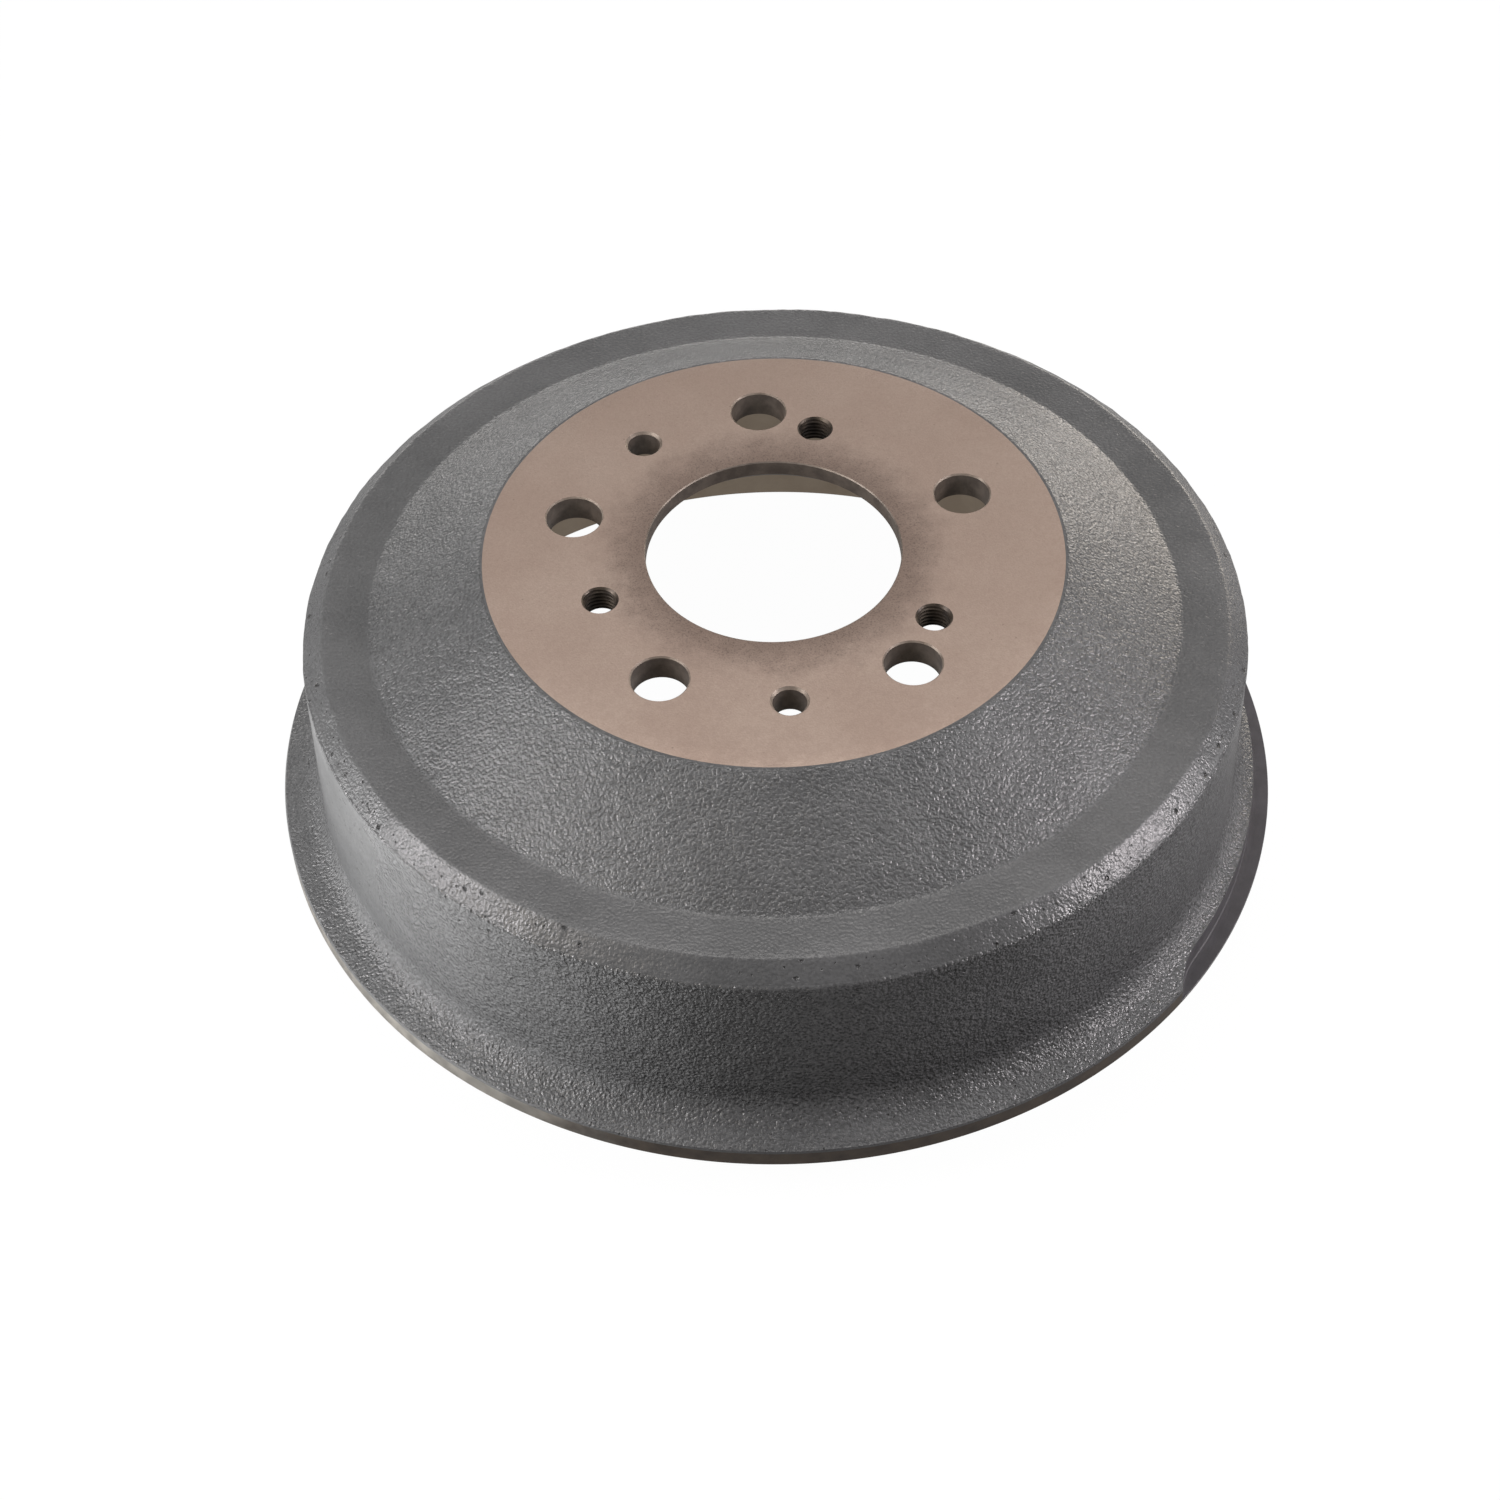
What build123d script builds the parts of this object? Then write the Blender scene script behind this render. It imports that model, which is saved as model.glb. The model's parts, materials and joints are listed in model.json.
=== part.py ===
from build123d import *
from math import radians, tan
import os

# Brake drum: one grey iron casting, turned, drilled and balanced.
# Millimetres and degrees. The drum stands on its open rim: z = 0 is the rim's end face,
# +Z runs along the wheel axis towards the hub face, and azimuths are counted from +X.

# Overall form
total_height = 97.8
friction_diameter = 254.0

# Hub: the flat web that is clamped between the axle flange and the wheel
hub_face_diameter = 161.4
web_thickness = 8.2

# Crown: a cone falls from the hub face to a flat ring, and a bevel leads to the side wall
cone_drop = 19.7
cone_thickness = 7.5
ring_width = 13.6
ring_thickness = 8.0
bevel_width = 5.7
bevel_drop = 5.1

# Side wall round the shoes, thinnest at the shoulder and drafted towards the open end
wall_thickness = 5.5
wall_draft = 1.3

# Rim and flange at the open end; the flange's upper side rises towards the wall
rim_height = 12.8
rim_thickness = 6.2
flange_overhang = 11.8
flange_band = 5.6
flange_slope = 22.0

# Blends of the casting
cone_foot_radius = 3.0
shoulder_radius = 2.5
flange_root_radius = 9.0
inner_cone_radius = 6.0

# Bevels of the turned edges, and of the shoe track's far end
hub_edge_bevel = 0.5
flange_edge_bevel = 0.4
rim_edge_bevel = 0.8
friction_end_bevel = 4.0

# Centre bore, bevelled on the inside to clear the root of the axle flange's pilot
bore_diameter = 70.6
bore_top_bevel = 0.4
bore_inside_bevel = 3.6

# Wheel stud holes on the bolt circle
stud_count = 5
bolt_circle = 114.3
stud_hole_diameter = 15.6
stud_hole_bevel = 0.5
first_stud_angle = 21.0

# Two retaining screw holes on the bolt circle, half way between studs
screw_hole_diameter = 9.2
screw_hole_bevel = 0.7
screw_offset_pitches = 1.5

# Three jack screw holes that push the drum off: core of M10 x 1.25, with a small countersink
jack_circle = 101.6
jack_core_diameter = 8.7
jack_sink_diameter = 10.2
jack_offset_pitches = 0.75

# Balance cut, milled into the flange from above by an end mill that follows the rim
cut_depth = 5.0
cut_floor_thickness = 1.0
cutter_diameter = 60.0
cut_start_angle = -35.1
cut_end_angle = 38.0

# Heights that follow from the sizes above
face_z = total_height
web_z = face_z - web_thickness
ring_z = face_z - cone_drop
ring_inside_z = ring_z - ring_thickness
shoulder_z = ring_z - bevel_drop
flange_z = rim_height
band_z = flange_z + flange_band

# Radii that follow from the sizes above
face_r = hub_face_diameter / 2
bore_r = bore_diameter / 2
stud_hole_r = stud_hole_diameter / 2
screw_hole_r = screw_hole_diameter / 2
friction_r = friction_diameter / 2
rim_r = friction_r + rim_thickness
flange_r = rim_r + flange_overhang
shoulder_r = friction_r + wall_thickness
ring_outer_r = shoulder_r - bevel_width
ring_inner_r = ring_outer_r - ring_width

# The drafted wall and the flange's upper side meet in the flange's root
draft_slope = tan(radians(wall_draft))
rise_slope = tan(radians(flange_slope))
root_rise = flange_r - shoulder_r - draft_slope * shoulder_z
root_z = (band_z + rise_slope * root_rise) / (1 - rise_slope * draft_slope)
root_r = shoulder_r + draft_slope * (shoulder_z - root_z)

# The inside of the cone runs parallel to its outside
cone_slope = cone_drop / (ring_inner_r - face_r)
cone_depth = cone_thickness * (1 + cone_slope**2) ** 0.5
cone_top_r = face_r + (web_thickness - cone_depth) / cone_slope
cone_foot_r = face_r + (cone_drop + ring_thickness - cone_depth) / cone_slope

# Corners of the half section, as (radius, height, blend radius): up the outside from the rim,
# across the hub face, and down the inside
corners = [
    (rim_r, 0.0, 0.0),
    (rim_r, flange_z, 0.0),
    (flange_r, flange_z, 0.0),
    (flange_r, band_z, 0.0),
    (root_r, root_z, flange_root_radius),
    (shoulder_r, shoulder_z, shoulder_radius),
    (ring_outer_r, ring_z, 0.0),
    (ring_inner_r, ring_z, cone_foot_radius),
    (face_r, face_z, 0.0),
    (bore_r, face_z, 0.0),
    (bore_r, web_z, 0.0),
    (cone_top_r, web_z, 0.0),
    (cone_foot_r, ring_inside_z, inner_cone_radius),
    (friction_r, ring_inside_z, 0.0),
    (friction_r, 0.0, 0.0),
]

# The small holes are set out symmetrically about the first stud
stud_pitch = 360.0 / stud_count
screw_angles = [
    first_stud_angle - screw_offset_pitches * stud_pitch,
    first_stud_angle + screw_offset_pitches * stud_pitch,
]
jack_angles = [
    first_stud_angle - jack_offset_pitches * stud_pitch,
    first_stud_angle + jack_offset_pitches * stud_pitch,
    first_stud_angle + 180.0,
]

# The cutter runs round the axis with its edge on the cut's wall
cut_floor_z = flange_z + cut_floor_thickness
cut_wall_r = flange_r - cut_depth
cutter_path_r = cut_wall_r + cutter_diameter / 2


def points_on_circle(diameter, angles):
    """Points at these azimuths on a circle round the axis."""
    return [Vector(diameter / 2, 0).rotate(Axis.Z, angle) for angle in angles]


def rings_at(part, radius, height):
    """Circular edges of a part that have this radius and lie at this height."""

    def fits(edge):
        return abs(edge.radius - radius) < 0.001 and abs(edge.center().Z - height) < 0.001

    return part.edges().filter_by(GeomType.CIRCLE).filter_by(fits)


with BuildPart() as drum:
    # The turned body: its half section, with the casting's blends, goes once round the axis
    with BuildSketch(Plane.XZ) as section:
        with BuildLine():
            Polyline([(r, z) for r, z, blend in corners], close=True)
        make_face()
        for r, z, blend in corners:
            if blend:
                fillet(section.vertices().sort_by_distance((r, z, 0))[0], blend)
    revolve(axis=Axis.Z)

    # Bevels of the turned edges, and of the shoe track's far end
    chamfer(rings_at(drum.part, face_r, face_z), hub_edge_bevel)
    chamfer(rings_at(drum.part, flange_r, band_z), flange_edge_bevel)
    chamfer(rings_at(drum.part, flange_r, flange_z), flange_edge_bevel)
    chamfer(rings_at(drum.part, rim_r, 0.0), rim_edge_bevel)
    chamfer(rings_at(drum.part, friction_r, 0.0), rim_edge_bevel)
    chamfer(rings_at(drum.part, friction_r, ring_inside_z), friction_end_bevel)
    chamfer(rings_at(drum.part, bore_r, face_z), bore_top_bevel)
    chamfer(rings_at(drum.part, bore_r, web_z), bore_inside_bevel)

    # Wheel stud holes, bevelled on both sides
    with Locations(Plane.XY.offset(face_z)):
        with PolarLocations(bolt_circle / 2, stud_count, start_angle=first_stud_angle):
            CounterSinkHole(
                radius=stud_hole_r,
                counter_sink_radius=stud_hole_r + stud_hole_bevel,
                counter_sink_angle=90,
            )
    chamfer(rings_at(drum.part, stud_hole_r, web_z), stud_hole_bevel)

    # Retaining screw holes
    with Locations(Plane.XY.offset(face_z)):
        with Locations(*points_on_circle(bolt_circle, screw_angles)):
            CounterSinkHole(
                radius=screw_hole_r,
                counter_sink_radius=screw_hole_r + screw_hole_bevel,
                counter_sink_angle=90,
            )

    # Jack screw holes
    with Locations(Plane.XY.offset(face_z)):
        with Locations(*points_on_circle(jack_circle, jack_angles)):
            CounterSinkHole(
                radius=jack_core_diameter / 2,
                counter_sink_radius=jack_sink_diameter / 2,
                counter_sink_angle=90,
            )

    # Balance cut: it leaves a thin floor above the flange's underside and has round ends
    with BuildSketch(Plane.XY.offset(cut_floor_z)):
        with BuildLine(mode=Mode.PRIVATE) as cutter_path:
            CenterArc((0, 0), cutter_path_r, cut_start_angle, cut_end_angle - cut_start_angle)
        SlotArc(cutter_path.edge(), cutter_diameter)
    extrude(amount=root_z - flange_z, mode=Mode.SUBTRACT)

drum.part.label = "brake_drum"

os.makedirs("parts", exist_ok=True)
export_step(drum.part, "parts/brake_drum.step")
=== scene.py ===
import json
from math import asin, atan2, ceil, cos, hypot, pi, radians, sin, sqrt, tan

import bmesh
import bpy
import numpy as np
from mathutils import Matrix, Vector, noise
from mathutils.geometry import delaunay_2d_cdt


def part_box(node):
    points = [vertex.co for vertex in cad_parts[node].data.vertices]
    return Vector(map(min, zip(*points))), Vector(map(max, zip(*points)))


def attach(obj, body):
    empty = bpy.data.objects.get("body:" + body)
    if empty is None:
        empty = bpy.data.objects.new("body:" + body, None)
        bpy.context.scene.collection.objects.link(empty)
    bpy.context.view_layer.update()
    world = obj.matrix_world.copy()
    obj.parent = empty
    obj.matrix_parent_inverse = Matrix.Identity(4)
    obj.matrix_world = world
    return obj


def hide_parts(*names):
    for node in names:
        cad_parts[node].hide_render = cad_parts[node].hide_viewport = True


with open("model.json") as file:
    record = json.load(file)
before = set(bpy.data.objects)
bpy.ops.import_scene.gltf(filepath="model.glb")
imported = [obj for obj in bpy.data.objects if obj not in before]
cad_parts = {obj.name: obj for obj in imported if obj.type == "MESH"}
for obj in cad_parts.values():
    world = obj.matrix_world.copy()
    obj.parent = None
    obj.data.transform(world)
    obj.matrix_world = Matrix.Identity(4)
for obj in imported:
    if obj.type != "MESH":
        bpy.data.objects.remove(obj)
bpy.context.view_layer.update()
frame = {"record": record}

# Brake drum, dressed: one watertight mesh over the CAD solid, with the casting's relief, the
# threads of the jack screw holes and the edges of the balance cut. Millimetres and degrees,
# in the CAD frame; the mesh, the lamps and the camera are turned into metres where they are made.
MM = 0.001

mounts = {mount["name"]: mount for mount in frame["record"]["mounts"]}
drum_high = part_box("brake_drum")[1]

# Camera, at the photograph's place
IMAGE_WIDTH = 1500.0
FOCAL_PIXELS = 2807.8
SENSOR_WIDTH = 36.0
CAMERA_AT = (-7.77, -556.13, 637.41)
CAMERA_PITCH = 48.22
CAMERA_ROLL = -1.395

# Section of the drum, as in the CAD source
FACE_Z = drum_high.z / MM
FLANGE_R = drum_high.x / MM
WEB_Z = mounts["axle_flange_seat"]["pos_m"][2] / MM
TRACK_R = mounts["shoe_track"]["dims"]["r_mm"]
BORE_R = mounts["pilot_bore"]["dims"]["r_mm"]
FACE_R = 80.7
CONE_DROP = 19.7
CONE_THICKNESS = 7.5
RING_WIDTH = 13.6
RING_THICKNESS = 8.0
BEVEL_WIDTH = 5.7
BEVEL_DROP = 5.1
WALL_THICKNESS = 5.5
WALL_DRAFT = 1.3
RIM_R = TRACK_R + 6.2
FLANGE_Z = 12.8
FLANGE_BAND = 5.6
FLANGE_SLOPE = 22.0
TRACK_END_BEVEL = 4.0
RIM_BEVEL = 0.8
BORE_TOP_BEVEL = 0.3
BORE_INSIDE_BEVEL = 3.6

# Blends of the section
RIM_ROOT_BLEND = 0.6
HUB_EDGE_BLEND = 1.8
CONE_FOOT_BLEND = 3.0
RING_EDGE_BLEND = 1.2
SHOULDER_BLEND = 1.8
FLANGE_ROOT_BLEND = 9.0
INNER_CONE_BLEND = 6.0

# Balance cut in the flange
CUT_WALL_R = FLANGE_R - 5.0
CUT_FLOOR_Z = FLANGE_Z + 1.0
CUT_CORNER = 0.5
CUTTER_R = 30.0
CUT_START = -35.1
CUT_END = 38.0
CUT_FARTHEST = 45.0  # degrees past an end of the cutter's path that it never reaches
CUT_EDGE = 0.15
FLANGE_EDGE = 0.4

# The slope's own rings start near the cut; the rings above them stop a little before
SLOPE_START_R = CUT_WALL_R - 0.7
UPPER_END_R = CUT_WALL_R - 1.0

# Small holes of the hub face
SCREW_OFFSET_PITCHES = 1.5
STUD_BEVEL = 0.4
SCREW_BEVEL = 0.7
JACK_SINK_R = 5.1
THREAD_PITCH = 1.25
THREAD_ROOT_R = 5.0
THREAD_EXIT_BEVEL = 0.05
THREAD_SHAPE = (0.0, 0.0, 0.4, 0.85, 1.0, 0.85, 0.4, 0.0)

# Spacing of the mesh
COLUMNS = 540
CUT_END_COLUMNS = 14
CLOSEST_COLUMN = 0.6  # share of the even spacing
CAST_STEP = 1.35
INNER_STEP = 9.0
ARC_STEP = 1.2
FACE_STEP = 3.4
FACE_MARGIN = 0.45 * FACE_STEP
BORE_POINTS = 180
STUD_HOLE_POINTS = 64
SMALL_HOLE_POINTS = 48
MERGE_DISTANCE = 0.002
SHARP_ANGLE = 28.0
NO_WIDTH = 1e-6
SAME_PLACE = 1e-5
SLIVER = 1e-3

# Relief of the casting: size of its bumps and how far they stand out
RELIEF_SIZES = ((9.0, 0.11), (3.4, 0.10))
RELIEF_SEED = Vector((31.7, -12.4, 5.9))

# Skin of each run of the section: how much of the relief it takes, and how coarse its paint is
HUB_EDGE_SKIN = (0.0, 0.2)
CONE_SKIN = (0.9, 1.3)
RING_SKIN = (0.45, 0.65)
BEVEL_SKIN = (1.4, 0.66)
WALL_SKIN = (1.2, 2.5)
ROOT_SKIN = (1.1, 1.3)
SLOPE_SKIN = (1.0, 1.1)
INSIDE_SKIN = (0.8, 1.0)
TURNED_SKIN = (0.0, 0.0)
MILLED_GRAIN = 0.15
SLOPE_RELIEF_LOSS = 0.4  # share of the relief that fades out towards the flange's edge

# The sand left a finer skin on parts of the wall: azimuth and how much finer there. A higher
# SMOOTH_FOCUS makes those parts narrower, and runs whose grain is below COMMON_GRAIN keep theirs
SMOOTH_SIDES = ((-158.0, 0.85), (0.0, 0.40))
SMOOTH_FOCUS = 8.0
COMMON_GRAIN = 1.4

# How much of the white surroundings the drum mirrors; the camera sees all of it
MIRRORED_SHARE = 0.28

# Pits in the finishes: how far their outline strays and how wide their floor is, in radii
PIT_RAGGEDNESS = 1.3
PIT_FLOOR = 0.3

# Lamps: how far those in the sky stand from the drum, in metres, and the colours of their light
LAMP_DISTANCE = 1.15
WHITE = (1.0, 1.0, 1.0)
WARM = (1.0, 0.88, 0.74)
PINK = (1.0, 0.93, 0.955)
LILAC = (1.0, 0.96, 0.975)
PALE = (1.0, 0.965, 0.93)

# Heights and radii that follow from the section
RING_Z = FACE_Z - CONE_DROP
RING_INSIDE_Z = RING_Z - RING_THICKNESS
SHOULDER_Z = RING_Z - BEVEL_DROP
SHOULDER_R = TRACK_R + WALL_THICKNESS
RING_OUTER_R = SHOULDER_R - BEVEL_WIDTH
RING_INNER_R = RING_OUTER_R - RING_WIDTH
BAND_Z = FLANGE_Z + FLANGE_BAND
DRAFT_SLOPE = tan(radians(WALL_DRAFT))
RISE_SLOPE = tan(radians(FLANGE_SLOPE))
ROOT_Z = (BAND_Z + RISE_SLOPE * (FLANGE_R - SHOULDER_R - DRAFT_SLOPE * SHOULDER_Z)) / (
    1 - RISE_SLOPE * DRAFT_SLOPE)
ROOT_R = SHOULDER_R + DRAFT_SLOPE * (SHOULDER_Z - ROOT_Z)
CONE_SLOPE = CONE_DROP / (RING_INNER_R - FACE_R)
CONE_DEPTH = CONE_THICKNESS * sqrt(1 + CONE_SLOPE**2)
CONE_TOP_R = FACE_R + (FACE_Z - WEB_Z - CONE_DEPTH) / CONE_SLOPE
CONE_FOOT_R = FACE_R + (CONE_DROP + RING_THICKNESS - CONE_DEPTH) / CONE_SLOPE

FINISHES = ("cast_paint", "smooth_paint", "turned_face", "hole_wall", "hole_edge", "thread",
            "turned_band", "shoe_track", "inside_cast")


class Row:
    """One ring of the lathed mesh, with the finish of the strip that follows it.

    r and z are numbers, or arrays with a value for each column. relief says how much of the
    casting's bumps the ring takes, along normal, and grain how coarse its paint looks."""

    def __init__(self, r, z, finish, relief=0.0, grain=0.0, normal=(0.0, 1.0)):
        self.r = r
        self.z = z
        self.finish = finish
        self.relief = relief
        self.grain = grain
        self.normal = normal


class Skin:
    """The drum's points, faces, finishes and paint grain, collected patch by patch."""

    def __init__(self):
        self.points = []
        self.faces = []
        self.finishes = []
        self.grains = []

    def add_points(self, points, grain=0.0):
        """Keeps the points, with one grain or a grain each; gives the first one's number."""
        first = len(self.points)
        self.points.extend(points)
        self.grains.extend(np.broadcast_to(grain, (len(points),)).tolist())
        return first

    def add_face(self, corners, finish):
        self.faces.append(corners)
        self.finishes.append(FINISHES.index(finish))

    def add_strip(self, first, second, count, finish):
        """Quads between two closed rings; finish is a name, or a function of the column."""
        for column in range(count):
            after = (column + 1) % count
            corners = (first + column, second + column, second + after, first + after)
            self.add_face(corners, finish(column) if callable(finish) else finish)


def turned(vector, angle):
    """A flat vector turned anticlockwise, in radians."""
    return np.array([vector[0] * cos(angle) - vector[1] * sin(angle),
                     vector[0] * sin(angle) + vector[1] * cos(angle)])


def blended(corners):
    """Points along a section: (r, z, blend, step, finish, relief, grain) for each corner, where
    all but the blend hold for the run that starts there. Gives the rows, but not the last end."""
    places = [np.array(corner[:2]) for corner in corners]
    rows = []
    arrive = places[0]
    for i in range(len(corners) - 1):
        step, finish, relief, grain = corners[i][3:]
        along = places[i + 1] - places[i]
        along = along / hypot(*along)
        normal = (-along[1], along[0])
        leave = places[i + 1]
        turn = 0.0
        if i + 2 < len(corners) and corners[i + 1][2]:
            onward = places[i + 2] - places[i + 1]
            onward = onward / hypot(*onward)
            turn = asin(along[0] * onward[1] - along[1] * onward[0])
            leave = places[i + 1] - along * corners[i + 1][2] * tan(abs(turn) / 2)
        count = max(1, round(hypot(*(leave - arrive)) / step))
        for k in range(count):
            point = arrive + (leave - arrive) * k / count
            rows.append(Row(point[0], point[1], finish, relief, grain, normal))
        arrive = leave
        if turn:
            radius = corners[i + 1][2]
            side = 1.0 if turn > 0 else -1.0
            centre = leave + radius * side * np.array(normal)
            next_relief, next_grain = corners[i + 1][5:]
            count = max(2, ceil(radius * abs(turn) / ARC_STEP))
            for k in range(count):
                outward = turned(normal, turn * k / count)
                point = centre - radius * side * outward
                share = k / count
                rows.append(Row(point[0], point[1], finish,
                                relief + (next_relief - relief) * share,
                                grain + (next_grain - grain) * share, tuple(outward)))
            arrive = centre - radius * side * turned(normal, turn)
    return rows


def cut_wall_radius(azimuth):
    """Where the balance cut's wall stands at this azimuth: the flange's edge outside the cut."""
    past = max(CUT_START - azimuth, azimuth - CUT_END, 0.0)
    path_r = CUT_WALL_R + CUTTER_R
    reach = CUTTER_R**2 - (path_r * sin(radians(past)))**2
    if past > CUT_FARTHEST or reach <= 0.0:
        return FLANGE_R
    return min(FLANGE_R, path_r * cos(radians(past)) - sqrt(reach))


def cut_lead():
    """Degrees between the end of the cutter's path and the place where it leaves the rim."""
    path_r = CUT_WALL_R + CUTTER_R
    cosine = (path_r**2 + FLANGE_R**2 - CUTTER_R**2) / (2 * path_r * FLANGE_R)
    return atan2(sqrt(1 - cosine**2), cosine) * 180 / pi


def column_azimuths():
    """Even columns, with closer ones where the cutter runs in and out."""
    lead = cut_lead()
    close = []
    for low, high in ((CUT_START - lead, CUT_START), (CUT_END, CUT_END + lead)):
        close.extend(np.linspace(low, high, CUT_END_COLUMNS + 1))
    even = [-180.0 + 360.0 * k / COLUMNS for k in range(COLUMNS)]
    spacing = CLOSEST_COLUMN * 360.0 / COLUMNS
    kept = [a for a in even if min(abs(a - c) for c in close) > spacing]
    return np.array(sorted(kept + close))


def outside_rows():
    """Rings from the hub face's edge down to the start of the flange's slope."""
    paint = "cast_paint"
    edge_start_r = FACE_R - HUB_EDGE_BLEND * tan(atan2(CONE_SLOPE, 1) / 2)
    corners = [
        (edge_start_r, FACE_Z, 0, 1, paint, *HUB_EDGE_SKIN),
        (FACE_R, FACE_Z, HUB_EDGE_BLEND, CAST_STEP, paint, *CONE_SKIN),
        (RING_INNER_R, RING_Z, CONE_FOOT_BLEND, CAST_STEP, paint, *RING_SKIN),
        (RING_OUTER_R, RING_Z, RING_EDGE_BLEND, CAST_STEP, paint, *BEVEL_SKIN),
        (SHOULDER_R, SHOULDER_Z, SHOULDER_BLEND, CAST_STEP, paint, *WALL_SKIN),
        (ROOT_R, ROOT_Z, FLANGE_ROOT_BLEND, 2.0, paint, *ROOT_SKIN),
        (FLANGE_R, BAND_Z, 0, 1, paint, *SLOPE_SKIN),
    ]
    rows = blended(corners)
    while rows[-1].r > UPPER_END_R:
        rows.pop()
    return rows


def flange_rows(azimuths):
    """Rings over the flange's slope and edge, where the balance cut's wall, corner and floor
    open out of the edge. Outside the cut the corner's and the floor's rings fall together."""
    wall = np.array([cut_wall_radius(a) for a in azimuths])
    width = FLANGE_R - wall
    cut = width > NO_WIDTH
    edge = np.where(cut, CUT_EDGE, FLANGE_EDGE)
    corner = np.minimum(CUT_CORNER, width / 2)
    lip = np.minimum(CUT_EDGE, width / 4)
    top = BAND_Z + RISE_SLOPE * (FLANGE_R - wall)
    relief, grain = SLOPE_SKIN
    rows = []
    for share in (0.0, 0.25, 0.5, 0.75, 1.0):
        r = SLOPE_START_R + (wall - edge - SLOPE_START_R) * share
        z = BAND_Z + RISE_SLOPE * (FLANGE_R - r)
        rows.append(Row(r, z, "cast_paint", relief - SLOPE_RELIEF_LOSS * share, grain))
    for share in (0.0, 0.35, 0.7):
        z = (top - edge) + (CUT_FLOOR_Z + corner - top + edge) * share
        rows.append(Row(wall, z, "edge", 0.0, MILLED_GRAIN))
    for angle in (0.0, 30.0, 60.0):
        turn = radians(angle)
        r = wall + corner * (1 - cos(turn))
        z = CUT_FLOOR_Z + corner * (1 - sin(turn))
        rows.append(Row(r, z, "edge", 0.0, MILLED_GRAIN))
    for share in (0.0, 0.33, 0.67, 1.0):
        r = wall + corner + (FLANGE_R - lip - wall - corner) * share
        rows.append(Row(r, np.full_like(r, CUT_FLOOR_Z), "edge", 0.0, MILLED_GRAIN))
    rows.append(Row(FLANGE_R, CUT_FLOOR_Z - lip, "turned_band"))
    rows.append(Row(FLANGE_R, FLANGE_Z + FLANGE_EDGE, "turned_band"))
    return rows, cut


def inside_rows():
    """Rings from the flange's lower edge under the rim and up the inside to the web."""
    corners = [
        (FLANGE_R - FLANGE_EDGE, FLANGE_Z, 0, 4.0, "turned_band", *TURNED_SKIN),
        (RIM_R, FLANGE_Z, RIM_ROOT_BLEND, 4.0, "turned_band", *TURNED_SKIN),
        (RIM_R, RIM_BEVEL, 0, 2.0, "turned_band", *TURNED_SKIN),
        (RIM_R - RIM_BEVEL, 0.0, 0, 5.0, "turned_band", *TURNED_SKIN),
        (TRACK_R + RIM_BEVEL, 0.0, 0, 2.0, "turned_band", *TURNED_SKIN),
        (TRACK_R, RIM_BEVEL, 0, INNER_STEP, "shoe_track", *TURNED_SKIN),
        (TRACK_R, RING_INSIDE_Z - TRACK_END_BEVEL, 0, 3.0, "shoe_track", *TURNED_SKIN),
        (TRACK_R - TRACK_END_BEVEL, RING_INSIDE_Z, 0, 2.5, "inside_cast", *INSIDE_SKIN),
        (CONE_FOOT_R, RING_INSIDE_Z, INNER_CONE_BLEND, 3.0, "inside_cast", *INSIDE_SKIN),
        (CONE_TOP_R, WEB_Z, 0, 1.0, "inside_cast", *TURNED_SKIN),
    ]
    rows = blended(corners)
    rows.append(Row(CONE_TOP_R, WEB_Z, "inside_cast"))
    return rows


def relief_at(point):
    """How far the casting's bumps stand out at a point, before a ring's own weight."""
    return sum(height * noise.noise(point / size + RELIEF_SEED) for size, height in RELIEF_SIZES)


def fine_share(turn):
    """How much finer the wall's skin is at each azimuth, in radians."""
    share = np.zeros(len(turn))
    for side, most in SMOOTH_SIDES:
        share += most * np.exp(SMOOTH_FOCUS * (np.cos(turn - radians(side)) - 1))
    return share


def lathe(skin, azimuths):
    """The whole outside and inside, ring after ring; gives the points of both end rings."""
    upper = outside_rows()
    flange, cut = flange_rows(azimuths)
    lower = inside_rows()
    rows = upper + flange + lower
    count = len(azimuths)
    turn = np.radians(azimuths)
    fine = fine_share(turn)
    coarsest = WALL_SKIN[1]
    firsts = []
    rings = []
    for number, row in enumerate(rows):
        r = np.broadcast_to(row.r, (count,)).astype(float)
        z = np.broadcast_to(row.z, (count,)).astype(float)
        ring = np.stack([r * np.cos(turn), r * np.sin(turn), z], axis=1)
        if row.relief and number:
            for column in range(count):
                push = row.relief * relief_at(Vector(ring[column]))
                out = row.normal[0] * push
                ring[column] += (out * cos(turn[column]), out * sin(turn[column]),
                                 row.normal[1] * push)
        wall = min(1.0, max(0.0, (row.grain - COMMON_GRAIN) / (coarsest - COMMON_GRAIN)))
        grain = row.grain * (1 - wall * fine)
        firsts.append(skin.add_points([tuple(p) for p in ring], grain))
        rings.append(ring)

    def edge_finish(column):
        """The cut is painted, and the rest of the flange's edge is unpainted."""
        inside_cut = cut[column] or cut[(column + 1) % count]
        return "smooth_paint" if inside_cut else "turned_band"

    for number in range(len(rows) - 1):
        finish = rows[number].finish
        skin.add_strip(firsts[number], firsts[number + 1], count,
                       edge_finish if finish == "edge" else finish)
    return rings[0], rings[-1]


def circle(centre, radius, z, count, start=0.0):
    """Points on a level circle, anticlockwise from start."""
    turns = [start + 2 * pi * k / count for k in range(count)]
    return [(centre[0] + radius * cos(t), centre[1] + radius * sin(t), z) for t in turns]


def plain_hole(skin, centre, rings, count, edge="hole_edge"):
    """A round hole through (r, z) rings from top to bottom; gives its two end loops."""
    loops = [circle(centre, r, z, count) for r, z in rings]
    firsts = [skin.add_points(loop) for loop in loops]
    for number in range(len(loops) - 1):
        upright = rings[number][0] == rings[number + 1][0]
        skin.add_strip(firsts[number], firsts[number + 1], count,
                       "hole_wall" if upright else edge)
    return loops[0], loops[-1]


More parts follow.
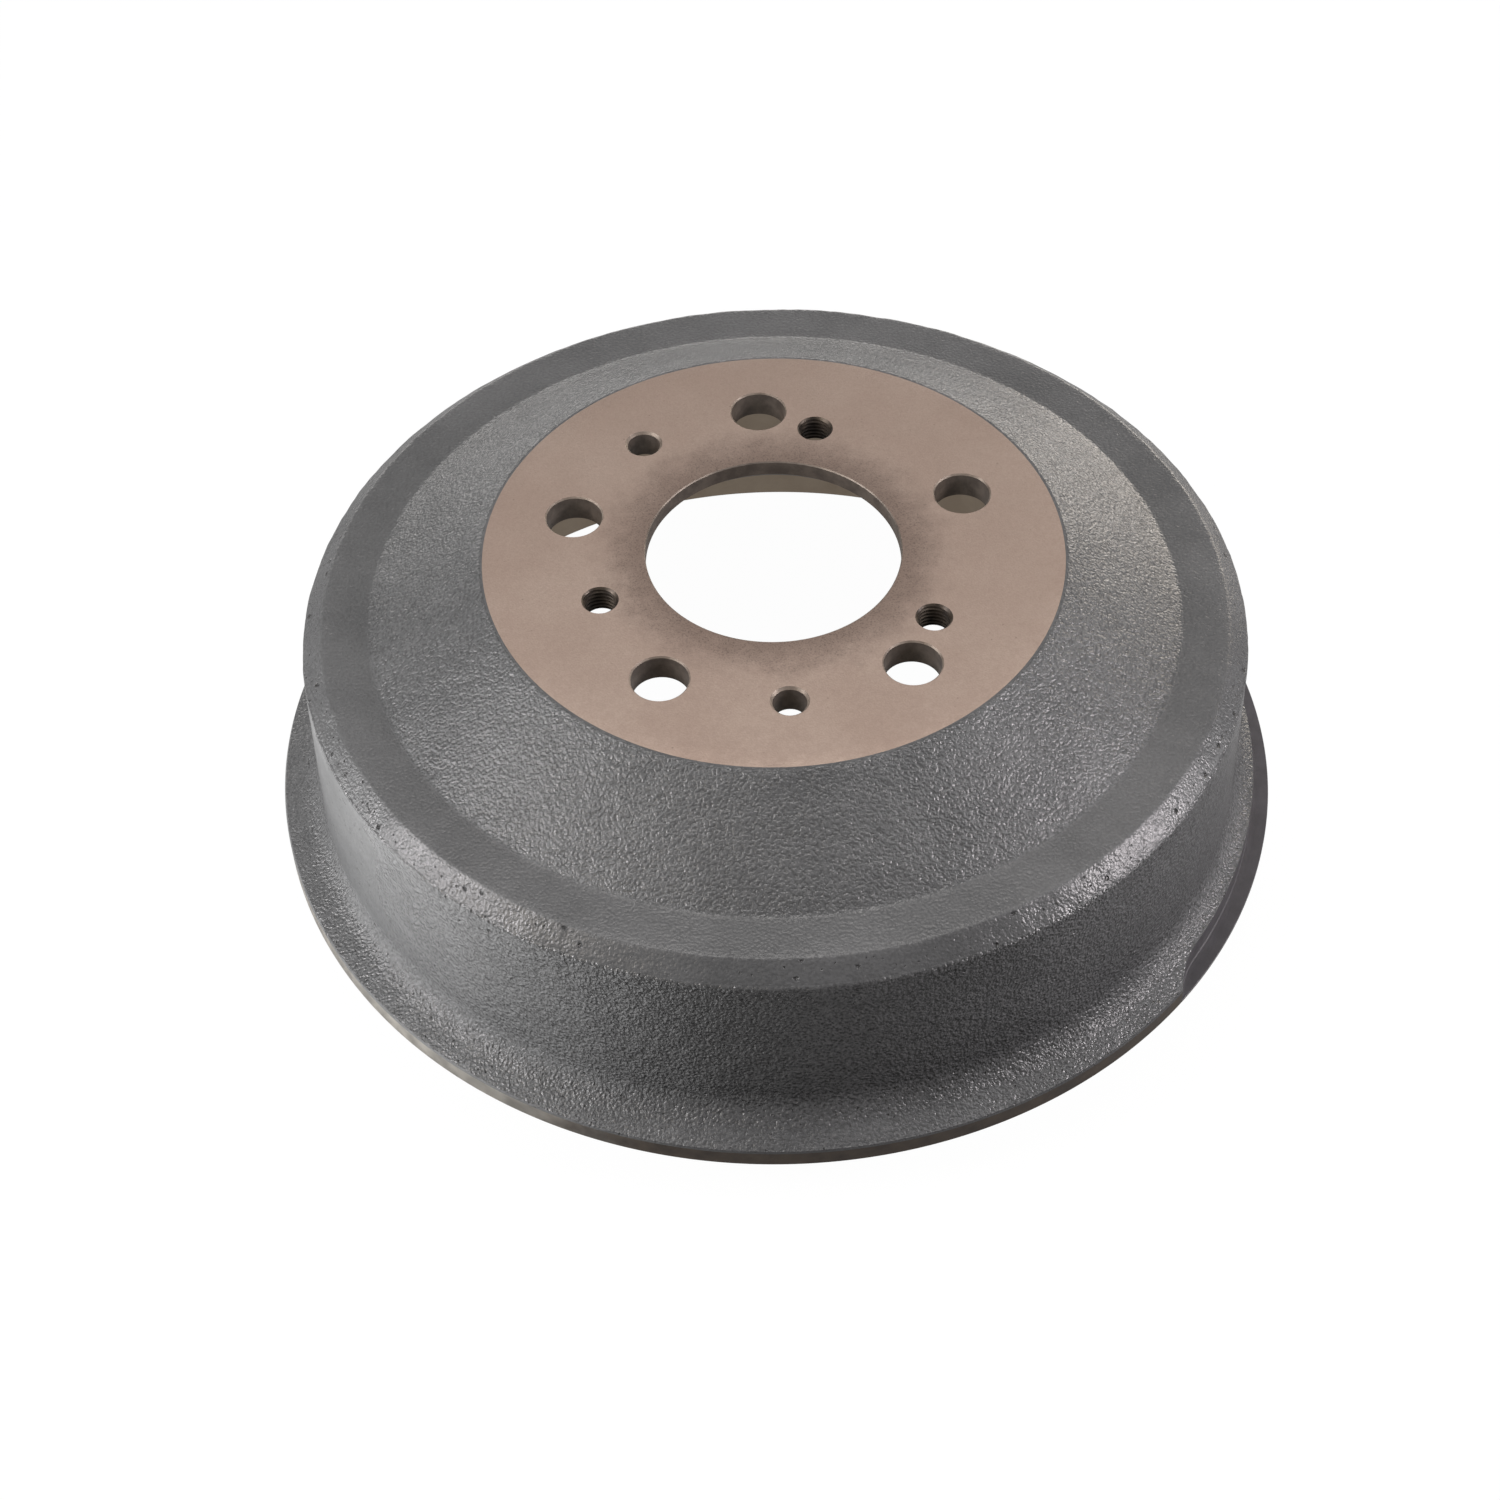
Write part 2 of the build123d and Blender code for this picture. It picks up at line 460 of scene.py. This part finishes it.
def threaded_hole(skin, centre, core_r, count=SMALL_HOLE_POINTS):
    """A right-hand thread on rings that climb with its helix, cut by the countersink above
    and by a bevel below; gives its two end loops."""
    depth = THREAD_ROOT_R - core_r
    parts = len(THREAD_SHAPE)
    turns = ceil((FACE_Z - WEB_Z) / THREAD_PITCH) + 1
    firsts = []
    for number in range(-parts, turns * parts + 1):
        row = []
        for column in range(count):
            turn = 2 * pi * column / count
            climb = number / parts + column / count
            z = min(max(WEB_Z + THREAD_PITCH * climb, WEB_Z), FACE_Z)
            radius = max(core_r + depth * THREAD_SHAPE[number % parts],
                         JACK_SINK_R - (FACE_Z - z),
                         THREAD_ROOT_R + THREAD_EXIT_BEVEL - (z - WEB_Z))
            row.append((centre[0] + radius * cos(turn), centre[1] + radius * sin(turn), z))
        firsts.append(skin.add_points(row))
    for lower, upper in zip(firsts, firsts[1:]):
        for column in range(count - 1):
            corners = (lower + column, lower + column + 1, upper + column + 1, upper + column)
            skin.add_face(corners, "thread")
    # The helix climbs a pitch in a turn, so the last column meets the first one a pitch up
    last = count - 1
    for number in range(len(firsts) - 1 - parts):
        corners = (firsts[number] + last, firsts[number + parts],
                   firsts[number + parts + 1], firsts[number + 1] + last)
        skin.add_face(corners, "thread")
    top = circle(centre, JACK_SINK_R, FACE_Z, count)
    bottom = circle(centre, THREAD_ROOT_R + THREAD_EXIT_BEVEL, WEB_Z, count)
    return top, bottom


def fill(skin, outline, holes, z, finish):
    """Triangles over a level face between its outline and the loops of its holes."""
    flat = []
    edges = []
    for loop in [outline] + holes:
        first = len(flat)
        flat.extend(Vector(point[:2]) for point in loop)
        edges.extend((first + k, first + (k + 1) % len(loop)) for k in range(len(loop)))
    rounds = []
    for loop in holes:
        centre = np.mean([point[:2] for point in loop], axis=0)
        rounds.append((centre, max(hypot(*(np.array(point[:2]) - centre)) for point in loop)))
    reach = min(hypot(point[0], point[1]) for point in outline)

    def open_at(x, y, margin):
        """Whether a place lies in a hole or past the outline, or within the margin of one."""
        inside = any(hypot(x - c[0], y - c[1]) < r + margin for c, r in rounds)
        return inside or hypot(x, y) > reach - margin

    rings = int(reach / FACE_STEP)
    for ring in range(1, rings):
        radius = ring * FACE_STEP
        count = max(6, round(2 * pi * radius / FACE_STEP))
        for x, y, _ in circle((0, 0), radius, z, count, ring * 0.5):
            if not open_at(x, y, FACE_MARGIN):
                flat.append(Vector((x, y)))
    points, _, faces, _, _, _ = delaunay_2d_cdt(flat, edges, [], 0, SAME_PLACE)
    first = skin.add_points([(p.x, p.y, z) for p in points])
    for face in faces:
        x = sum(points[k].x for k in face) / len(face)
        y = sum(points[k].y for k in face) / len(face)
        if not open_at(x, y, -SLIVER):
            skin.add_face(tuple(first + k for k in face), finish)


def hub_holes(skin):
    """Bore, stud holes, screw holes and jack screw holes; gives their top and bottom loops."""
    tops = []
    bottoms = []

    def keep(loops):
        tops.append(loops[0])
        bottoms.append(loops[1])

    bore = ((BORE_R + BORE_TOP_BEVEL, FACE_Z), (BORE_R, FACE_Z - BORE_TOP_BEVEL),
            (BORE_R, WEB_Z + BORE_INSIDE_BEVEL), (BORE_R + BORE_INSIDE_BEVEL, WEB_Z))
    keep(plain_hole(skin, (0.0, 0.0), bore, BORE_POINTS, "hole_wall"))

    studs = mounts["wheel_studs"]["dims"]
    first_screw = mounts["retaining_screw_1"]["pos_m"]
    pitch = 360.0 / studs["count"]
    first_stud = atan2(first_screw[1], first_screw[0]) + radians(SCREW_OFFSET_PITCHES * pitch)
    r = studs["hole_r_mm"]
    rings = ((r + STUD_BEVEL, FACE_Z), (r, FACE_Z - STUD_BEVEL),
             (r, WEB_Z + STUD_BEVEL), (r + STUD_BEVEL, WEB_Z))
    for x, y, _ in circle((0, 0), studs["pcd_mm"] / 2, 0, studs["count"], first_stud):
        keep(plain_hole(skin, (x, y), rings, STUD_HOLE_POINTS))

    for name in ("retaining_screw_1", "retaining_screw_2"):
        x, y, _ = (v / MM for v in mounts[name]["pos_m"])
        r = mounts[name]["dims"]["r_mm"]
        rings = ((r + SCREW_BEVEL, FACE_Z), (r, FACE_Z - SCREW_BEVEL), (r, WEB_Z))
        keep(plain_hole(skin, (x, y), rings, SMALL_HOLE_POINTS))

    for name in ("jack_screw_1", "jack_screw_2", "jack_screw_3"):
        x, y, _ = (v / MM for v in mounts[name]["pos_m"])
        keep(threaded_hole(skin, (x, y), mounts[name]["dims"]["r_mm"]))
    return tops, bottoms


def drum_mesh():
    """The whole drum as one closed mesh, in metres."""
    skin = Skin()
    azimuths = column_azimuths()
    face_edge, web_edge = lathe(skin, azimuths)
    tops, bottoms = hub_holes(skin)
    fill(skin, [tuple(p) for p in face_edge], tops, FACE_Z, "turned_face")
    fill(skin, [tuple(p) for p in web_edge], bottoms, WEB_Z, "turned_face")
    mesh = bpy.data.meshes.new("drum_casting")
    mesh.from_pydata([tuple(v * MM for v in p) for p in skin.points], [], skin.faces)
    mesh.polygons.foreach_set("material_index", skin.finishes)
    grain = mesh.attributes.new("grain", "FLOAT", "POINT")
    grain.data.foreach_set("value", skin.grains)
    work = bmesh.new()
    work.from_mesh(mesh)
    bmesh.ops.remove_doubles(work, verts=work.verts, dist=MERGE_DISTANCE * MM)
    bmesh.ops.dissolve_degenerate(work, edges=work.edges, dist=MERGE_DISTANCE * MM / 4)
    bmesh.ops.recalc_face_normals(work, faces=work.faces)
    work.to_mesh(mesh)
    work.free()
    mesh.polygons.foreach_set("use_smooth", [True] * len(mesh.polygons))
    mesh.set_sharp_from_angle(angle=radians(SHARP_ANGLE))
    return mesh


def linear(red, green, blue):
    """A colour from its 0 to 255 screen values, as the linear values that shaders take."""
    values = []
    for part in (red, green, blue):
        part = part / 255
        values.append(part / 12.92 if part <= 0.04045 else ((part + 0.055) / 1.055) ** 2.4)
    return (*values, 1.0)


class Finish:
    """A procedural material; sizes in its textures are in millimetres on the part."""

    def __init__(self, name):
        self.material = bpy.data.materials.new(name)
        self.material.use_nodes = True
        self.tree = self.material.node_tree
        self.shader = self.tree.nodes["Principled BSDF"]
        place = self.add("ShaderNodeTexCoord").outputs["Object"]
        scaled = self.add("ShaderNodeVectorMath", {0: place, "Scale": 1 / MM}, operation="SCALE")
        self.place = scaled.outputs[0]

    def add(self, kind, values=None, **settings):
        """A node of this kind; values are its inputs, as constants or as other nodes' outputs."""
        node = self.tree.nodes.new(kind)
        for key, value in settings.items():
            setattr(node, key, value)
        for key, value in (values or {}).items():
            if isinstance(value, bpy.types.NodeSocket):
                self.tree.links.new(value, node.inputs[key])
            else:
                node.inputs[key].default_value = value
        return node

    def noise(self, size, detail=2.0, rough=0.5):
        """Even noise round 0.5, with bumps of about this size."""
        values = {"Vector": self.place, "Scale": 1 / size, "Detail": detail, "Roughness": rough}
        return self.add("ShaderNodeTexNoise", values).outputs[0]

    def math(self, operation, first, second=0.0):
        return self.add("ShaderNodeMath", {0: first, 1: second}, operation=operation).outputs[0]

    def plus(self, first, second):
        return self.math("ADD", first, second)

    def minus(self, first, second):
        return self.math("SUBTRACT", first, second)

    def times(self, first, second):
        return self.math("MULTIPLY", first, second)

    def waves(self, value, length):
        """Tool marks: a sine of this length along a measure."""
        return self.math("SINE", self.times(value, 2 * pi / length))

    def ramp(self, value, low, high, to_low=0.0, to_high=1.0):
        """A soft step that runs from to_low to to_high while the value goes from low to high."""
        values = {"Value": value, "From Min": low, "From Max": high, "To Min": to_low,
                  "To Max": to_high}
        return self.add("ShaderNodeMapRange", values, interpolation_type="SMOOTHSTEP").outputs[0]

    def mix(self, share, first, second):
        """A colour between two others."""
        node = self.add("ShaderNodeMix", {0: share, 6: first, 7: second}, data_type="RGBA")
        return node.outputs[2]

    def pits(self, size, radius, share):
        """Ragged pits: 1 at the middle of a pit and 0 away from them, in a share of the cells."""
        drift = self.add("ShaderNodeTexNoise", {"Vector": self.place, "Scale": 1 / radius})
        warped = self.add("ShaderNodeVectorMath", {
            0: drift.outputs["Color"], 1: (PIT_RAGGEDNESS * radius,) * 3, 2: self.place},
            operation="MULTIPLY_ADD").outputs[0]
        cells = self.add("ShaderNodeTexVoronoi", {"Vector": warped, "Scale": 1 / size})
        chosen = self.add("ShaderNodeSeparateColor", {0: cells.outputs["Color"]}).outputs[0]
        hollow = self.ramp(cells.outputs["Distance"], radius / size, PIT_FLOOR * radius / size)
        return self.times(hollow, self.ramp(chosen, 1 - share, 1.001 - share))

    def bump(self, height, distance):
        """The normal of a surface whose height of 1 stands out by a distance."""
        values = {"Height": height, "Distance": distance * MM, "Strength": 1.0}
        return self.add("ShaderNodeBump", values).outputs[0]

    def dress(self, **values):
        """Sets or links the shader's inputs, and gives the finished material."""
        for key, value in values.items():
            socket = self.shader.inputs[key.replace("_", " ")]
            if isinstance(value, bpy.types.NodeSocket):
                self.tree.links.new(value, socket)
            else:
                socket.default_value = value
        return self.material


def cast_paint(name, dark, light, painted_highlight, painted_shade):
    """Satin paint over a sand casting: raised grain, fine tooth and pits round the crown, with
    painted highlights on the grain's tops and painted shade in its hollows and pits.
    """
    f = Finish(name)
    grain = f.add("ShaderNodeAttribute", attribute_name="grain").outputs["Fac"]
    z = f.add("ShaderNodeSeparateXYZ", {0: f.place}).outputs[2]

    # Raised grain, as coarse as the mesh says
    bumps = f.noise(0.84, 1.0, 0.45)
    tooth = f.noise(0.30, 1.0, 0.5)
    broad = f.noise(2.8, 2.0, 0.5)
    height = f.plus(f.times(tooth, 0.12), f.times(broad, 0.60))
    height = f.times(f.plus(bumps, height), grain)

    # Large pits on the bevel and the shoulder, and small ones there and on the wall
    crown = f.times(f.ramp(z, SHOULDER_Z - 12.0, SHOULDER_Z - 1.0),
                    f.ramp(z, RING_Z - 0.1, RING_Z - 0.9))
    pits = f.times(f.pits(5.0, 0.90, 0.45), crown)
    wall = f.ramp(z, SHOULDER_Z, SHOULDER_Z - 4.0, 0.0, 0.75)
    spread = f.plus(f.plus(crown, 0.12), wall)
    small_pits = f.times(f.pits(1.9, 0.40, 0.42), spread)
    height = f.minus(height, f.times(pits, 2.0))
    height = f.minus(height, f.times(small_pits, 0.7))

    # Clouded paint, with a painted highlight on the grain's tops and painted shade in its hollows
    # and in the pits
    clouds = f.ramp(f.noise(26.0, 3.0, 0.6), 0.32, 0.68)
    colour = f.mix(clouds, dark, light)
    # Painted highlight: the grain's tops are made paler
    top = f.times(f.ramp(bumps, 0.52, 0.68), grain)
    colour = f.mix(f.times(top, 0.14), colour, painted_highlight)
    # Painted shade: the grain's hollows are made darker
    hollow = f.times(f.ramp(bumps, 0.50, 0.34), grain)
    colour = f.mix(f.times(hollow, 0.26), colour, painted_shade)
    # Painted shade: the pits are made dark
    colour = f.mix(f.math("MAXIMUM", pits, small_pits), colour, painted_shade)

    # The coarse grain and the crown shine more
    patches = f.ramp(f.noise(9.0, 2.0, 0.5), 0.3, 0.7, -0.04, 0.04)
    roughness = f.plus(f.ramp(grain, 0.5, 1.0, 0.38, 0.21), patches)
    roughness = f.minus(roughness, f.times(crown, 0.07))
    return f.dress(Base_Color=colour, Roughness=roughness, Specular_IOR_Level=0.5,
                   Normal=f.bump(height, 0.34))


def smooth_paint():
    """The same paint on the milled balance cut, where it lies smooth, in colours darker than the
    casting's as painted shade.
    """
    f = Finish("smooth_paint")
    clouds = f.ramp(f.noise(7.0, 3.0, 0.6), 0.3, 0.7)
    # Painted shade: both colours are darker than the casting's paint
    colour = f.mix(clouds, linear(70, 68, 71), linear(80, 78, 82))
    roughness = f.ramp(f.noise(3.0, 2.0, 0.5), 0.3, 0.7, 0.38, 0.46)
    return f.dress(Base_Color=colour, Roughness=roughness,
                   Normal=f.bump(f.noise(1.2, 2.0, 0.5), 0.03))


def turned_face():
    """Bare turned iron of the hub face: matt, faintly speckled, darker round the bore."""
    f = Finish("turned_face")
    parts = f.add("ShaderNodeSeparateXYZ", {0: f.place})
    flat = f.add("ShaderNodeCombineXYZ", {0: parts.outputs[0], 1: parts.outputs[1]}).outputs[0]
    radius = f.add("ShaderNodeVectorMath", {0: flat}, operation="LENGTH").outputs["Value"]
    tooth = f.ramp(f.noise(0.50, 2.0, 0.6), 0.30, 0.70)
    mottle = f.ramp(f.noise(3.2, 4.0, 0.65), 0.30, 0.70)
    cloud = f.ramp(f.noise(30.0, 3.0, 0.55), 0.30, 0.70)
    colour = f.mix(cloud, linear(168, 149, 137), linear(176, 158, 146))
    colour = f.mix(f.times(tooth, 0.24), colour, linear(132, 113, 102))
    colour = f.mix(f.times(mottle, 0.20), colour, linear(140, 122, 114))
    ragged = f.plus(radius, f.times(f.noise(7.0, 4.0, 0.7), 16.0))
    halo = f.ramp(ragged, 60.0, 43.0)
    specks = f.times(f.ramp(f.noise(0.55, 3.0, 0.7), 0.50, 0.66), halo)
    colour = f.mix(f.times(halo, 0.70), colour, linear(114, 98, 89))
    colour = f.mix(f.times(specks, 0.62), colour, linear(82, 70, 65))
    flecks = f.pits(1.5, 0.30, 0.45)
    colour = f.mix(f.times(flecks, 0.20), colour, linear(100, 86, 78))
    pinholes = f.pits(3.4, 0.36, 0.22)
    colour = f.mix(f.times(pinholes, 0.45), colour, linear(84, 70, 64))
    lay = f.waves(radius, 0.8)
    height = f.plus(f.times(lay, 0.05), tooth)
    height = f.minus(height, pinholes)
    roughness = f.ramp(mottle, 0.0, 1.0, 0.50, 0.58)
    return f.dress(Base_Color=colour, Metallic=0.7, Roughness=roughness,
                   Normal=f.bump(height, 0.02))


def bored_iron(name, dark, light, metallic, roughness, lay):
    """Drilled or bored iron with faint tool rings and brown patches."""
    f = Finish(name)
    parts = f.add("ShaderNodeSeparateXYZ", {0: f.place})
    mottle = f.ramp(f.noise(4.0, 3.0, 0.6), 0.3, 0.7)
    colour = f.mix(mottle, dark, light)
    drift = f.noise(1.6, 2.0, 0.5)
    climb = f.plus(parts.outputs[2], f.times(drift, 0.4))
    rings = f.waves(climb, 0.55)
    colour = f.mix(f.ramp(rings, -1.0, 1.0, 0.0, lay), colour, dark)
    height = f.plus(f.times(rings, lay), f.noise(0.9, 2.0, 0.5))
    rough = f.ramp(drift, 0.3, 0.7, roughness - 0.05, roughness + 0.05)
    return f.dress(Base_Color=colour, Metallic=metallic, Roughness=rough,
                   Normal=f.bump(height, 0.03))


def turned_band():
    """Turned edge of the flange and the rim, with a painted reflection: dark, and brightest on
    the far left.
    """
    f = Finish("turned_band")
    parts = f.add("ShaderNodeSeparateXYZ", {0: f.place})
    blotch = f.ramp(f.noise(6.0, 4.0, 0.6), 0.3, 0.7)
    painted_dark_reflection = f.mix(blotch, linear(74, 66, 60), linear(96, 87, 78))
    painted_bright_reflection = f.mix(blotch, linear(138, 135, 129), linear(162, 158, 151))
    # Painted reflection: the band is made light towards the far left and dark elsewhere
    ragged = f.plus(parts.outputs[0], f.times(f.noise(9.0, 3.0, 0.6), 40.0))
    colour = f.mix(f.ramp(ragged, -20.0, -62.0), painted_dark_reflection, painted_bright_reflection)
    rings = f.waves(parts.outputs[2], 0.5)
    height = f.plus(f.times(rings, 0.3), f.noise(1.5, 2.0, 0.5))
    roughness = f.ramp(blotch, 0.0, 1.0, 0.38, 0.50)
    return f.dress(Base_Color=colour, Metallic=0.7, Roughness=roughness,
                   Normal=f.bump(height, 0.02))


def shoe_track():
    """Turned friction wall, with the fine thread-like lay of the last cut."""
    f = Finish("shoe_track")
    parts = f.add("ShaderNodeSeparateXYZ", {0: f.place})
    mottle = f.ramp(f.noise(12.0, 3.0, 0.6), 0.3, 0.7)
    colour = f.mix(mottle, linear(190, 172, 152), linear(208, 191, 171))
    lay = f.waves(parts.outputs[2], 0.6)
    height = f.plus(f.times(lay, 0.4), f.noise(1.4, 2.0, 0.5))
    roughness = f.ramp(mottle, 0.0, 1.0, 0.36, 0.46)
    return f.dress(Base_Color=colour, Metallic=0.9, Roughness=roughness,
                   Normal=f.bump(height, 0.02))


def make_finishes():
    """The finishes in the order of FINISHES."""
    # The last two colours of each cast paint are its painted highlight on the grain's tops and
    # its painted shade in the hollows and pits
    paint = cast_paint("cast_paint", linear(86, 87, 88), linear(96, 97, 98),
                       linear(126, 126, 127), linear(40, 39, 39))
    inside = cast_paint("inside_cast", linear(84, 80, 76), linear(104, 98, 92),
                        linear(118, 112, 105), linear(56, 50, 46))
    wall = bored_iron("hole_wall", linear(104, 95, 88), linear(128, 118, 109), 0.6, 0.46, 0.06)
    edge = bored_iron("hole_edge", linear(108, 96, 86), linear(140, 128, 117), 0.4, 0.50, 0.02)
    thread = bored_iron("thread", linear(48, 41, 36), linear(80, 70, 60), 0.6, 0.40, 0.02)
    return [paint, smooth_paint(), turned_face(), wall, edge, thread, turned_band(), shoe_track(),
            inside]


def sky(azimuth, elevation):
    """The place of a lamp in the sky, in metres."""
    a = radians(azimuth)
    e = radians(elevation)
    return Vector((cos(a) * cos(e), sin(a) * cos(e), sin(e))) * LAMP_DISTANCE


def softbox(name, place, width, height, radiance, colour=WHITE, aim=(0.0, 0.0, 0.05)):
    """A rectangular lamp that faces a point; places and sides in metres."""
    data = bpy.data.lights.new(name, "AREA")
    data.shape = "RECTANGLE"
    data.size = width
    data.size_y = height
    data.energy = radiance * pi * width * height
    data.color = colour
    lamp = bpy.data.objects.new(name, data)
    lamp.location = place
    lamp.rotation_euler = (Vector(place) - Vector(aim)).to_track_quat("Z", "Y").to_euler()
    bpy.context.collection.objects.link(lamp)
    return lamp


def make_lamps():
    """Two key lamps at the sides with softer ones beside them, one above, two behind the drum,
    two over the table, and two faint panels on it that the left of the wall mirrors."""
    softbox("left_key", sky(-164, 28.5), 0.35, 0.27, 20.0, LILAC)
    softbox("left_front", sky(-144, 40), 0.36, 0.36, 3.2, WARM)
    softbox("left_low", sky(180, 10), 0.50, 0.30, 5.8)
    softbox("right_key", sky(-12, 27), 0.34, 0.26, 25.0, PINK)
    softbox("right_low", sky(4, 10), 0.40, 0.30, 2.6)
    softbox("above", sky(90, 80), 0.50, 0.50, 4.9, PALE)
    softbox("back_strip", (0.0, 1.1, 0.12), 1.60, 0.35, 2.9, PALE)
    softbox("back_right", sky(54, 12), 0.60, 0.30, 4.4, WARM)
    softbox("table_left", (-0.36, -0.10, 0.42), 0.25, 0.25, 3.4, aim=(-0.27, -0.10, 0.0))
    softbox("table_right", (0.36, -0.05, 0.42), 0.25, 0.25, 2.3, aim=(0.27, -0.05, 0.0))
    panels = [
        softbox("glow_left", (-0.236, -0.10, 0.002), 0.17, 0.26, 0.50, aim=(-0.236, -0.10, 1.0)),
        softbox("glow_left_front", (-0.155, -0.127, 0.017), 0.20, 0.09, 1.8, aim=(0.0, 0.0, 0.6)),
    ]
    for panel in panels:
        panel.visible_camera = False


def seen_rays(tree):
    """1 for rays from the camera, MIRRORED_SHARE for reflected and refracted ones, else 0."""
    rays = tree.nodes.new("ShaderNodeLightPath")
    both = tree.nodes.new("ShaderNodeMath")
    both.operation = "MAXIMUM"
    tree.links.new(rays.outputs["Is Glossy Ray"], both.inputs[0])
    tree.links.new(rays.outputs["Is Transmission Ray"], both.inputs[1])
    result = tree.nodes.new("ShaderNodeMath")
    result.operation = "MULTIPLY_ADD"
    tree.links.new(both.outputs[0], result.inputs[0])
    result.inputs[1].default_value = MIRRORED_SHARE
    tree.links.new(rays.outputs["Is Camera Ray"], result.inputs[2])
    return result.outputs[0]


def make_floor(size=8.0, white_share=0.86, glow_strength=1.14, paper_white=0.20):
    """White floor at the rim's end face; it keeps the drum's soft shadow."""
    mesh = bpy.data.meshes.new("floor")
    half = size / 2
    mesh.from_pydata([(-half, -half, 0), (half, -half, 0), (half, half, 0), (-half, half, 0)],
                     [], [(0, 1, 2, 3)])
    floor = bpy.data.objects.new("floor", mesh)
    bpy.context.collection.objects.link(floor)
    material = bpy.data.materials.new("floor_white")
    material.use_nodes = True
    tree = material.node_tree
    tree.nodes.clear()
    paper = tree.nodes.new("ShaderNodeBsdfDiffuse")
    paper.inputs["Color"].default_value = (paper_white, paper_white, paper_white, 1)
    glow = tree.nodes.new("ShaderNodeEmission")
    glow.inputs["Strength"].default_value = glow_strength
    share = tree.nodes.new("ShaderNodeMath")
    share.operation = "MULTIPLY"
    tree.links.new(seen_rays(tree), share.inputs[0])
    share.inputs[1].default_value = white_share
    mix = tree.nodes.new("ShaderNodeMixShader")
    tree.links.new(share.outputs[0], mix.inputs[0])
    tree.links.new(paper.outputs[0], mix.inputs[1])
    tree.links.new(glow.outputs[0], mix.inputs[2])
    output = tree.nodes.new("ShaderNodeOutputMaterial")
    tree.links.new(mix.outputs[0], output.inputs[0])
    mesh.materials.append(material)


def make_world(fill_light=0.01):
    """Even fill light for the object, and white where the surroundings are seen."""
    world = bpy.data.worlds.new("studio")
    bpy.context.scene.world = world
    world.use_nodes = True
    tree = world.node_tree
    back = tree.nodes["Background"]
    strength = tree.nodes.new("ShaderNodeMapRange")
    tree.links.new(seen_rays(tree), strength.inputs["Value"])
    strength.inputs["To Min"].default_value = fill_light
    back.inputs["Color"].default_value = (1, 1, 1, 1)
    tree.links.new(strength.outputs[0], back.inputs["Strength"])


def make_camera():
    """The photograph's camera."""
    data = bpy.data.cameras.new("camera")
    data.sensor_width = SENSOR_WIDTH
    data.lens = FOCAL_PIXELS / IMAGE_WIDTH * SENSOR_WIDTH
    camera = bpy.data.objects.new("camera", data)
    tilt = Matrix.Rotation(radians(90 - CAMERA_PITCH), 4, "X")
    roll = Matrix.Rotation(radians(CAMERA_ROLL), 4, "Z")
    camera.matrix_world = Matrix.Translation(Vector(CAMERA_AT) * MM) @ tilt @ roll
    bpy.context.collection.objects.link(camera)
    bpy.context.scene.camera = camera


def make_drum():
    """The dressed drum, in place of the CAD solid."""
    drum = bpy.data.objects.new("drum_casting", drum_mesh())
    for finish in make_finishes():
        drum.data.materials.append(finish)
    bpy.context.collection.objects.link(drum)
    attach(drum, "root")
    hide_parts("brake_drum")


make_camera()
make_world()
make_floor()
make_lamps()
make_drum()
bpy.context.scene.view_settings.view_transform = "Standard"
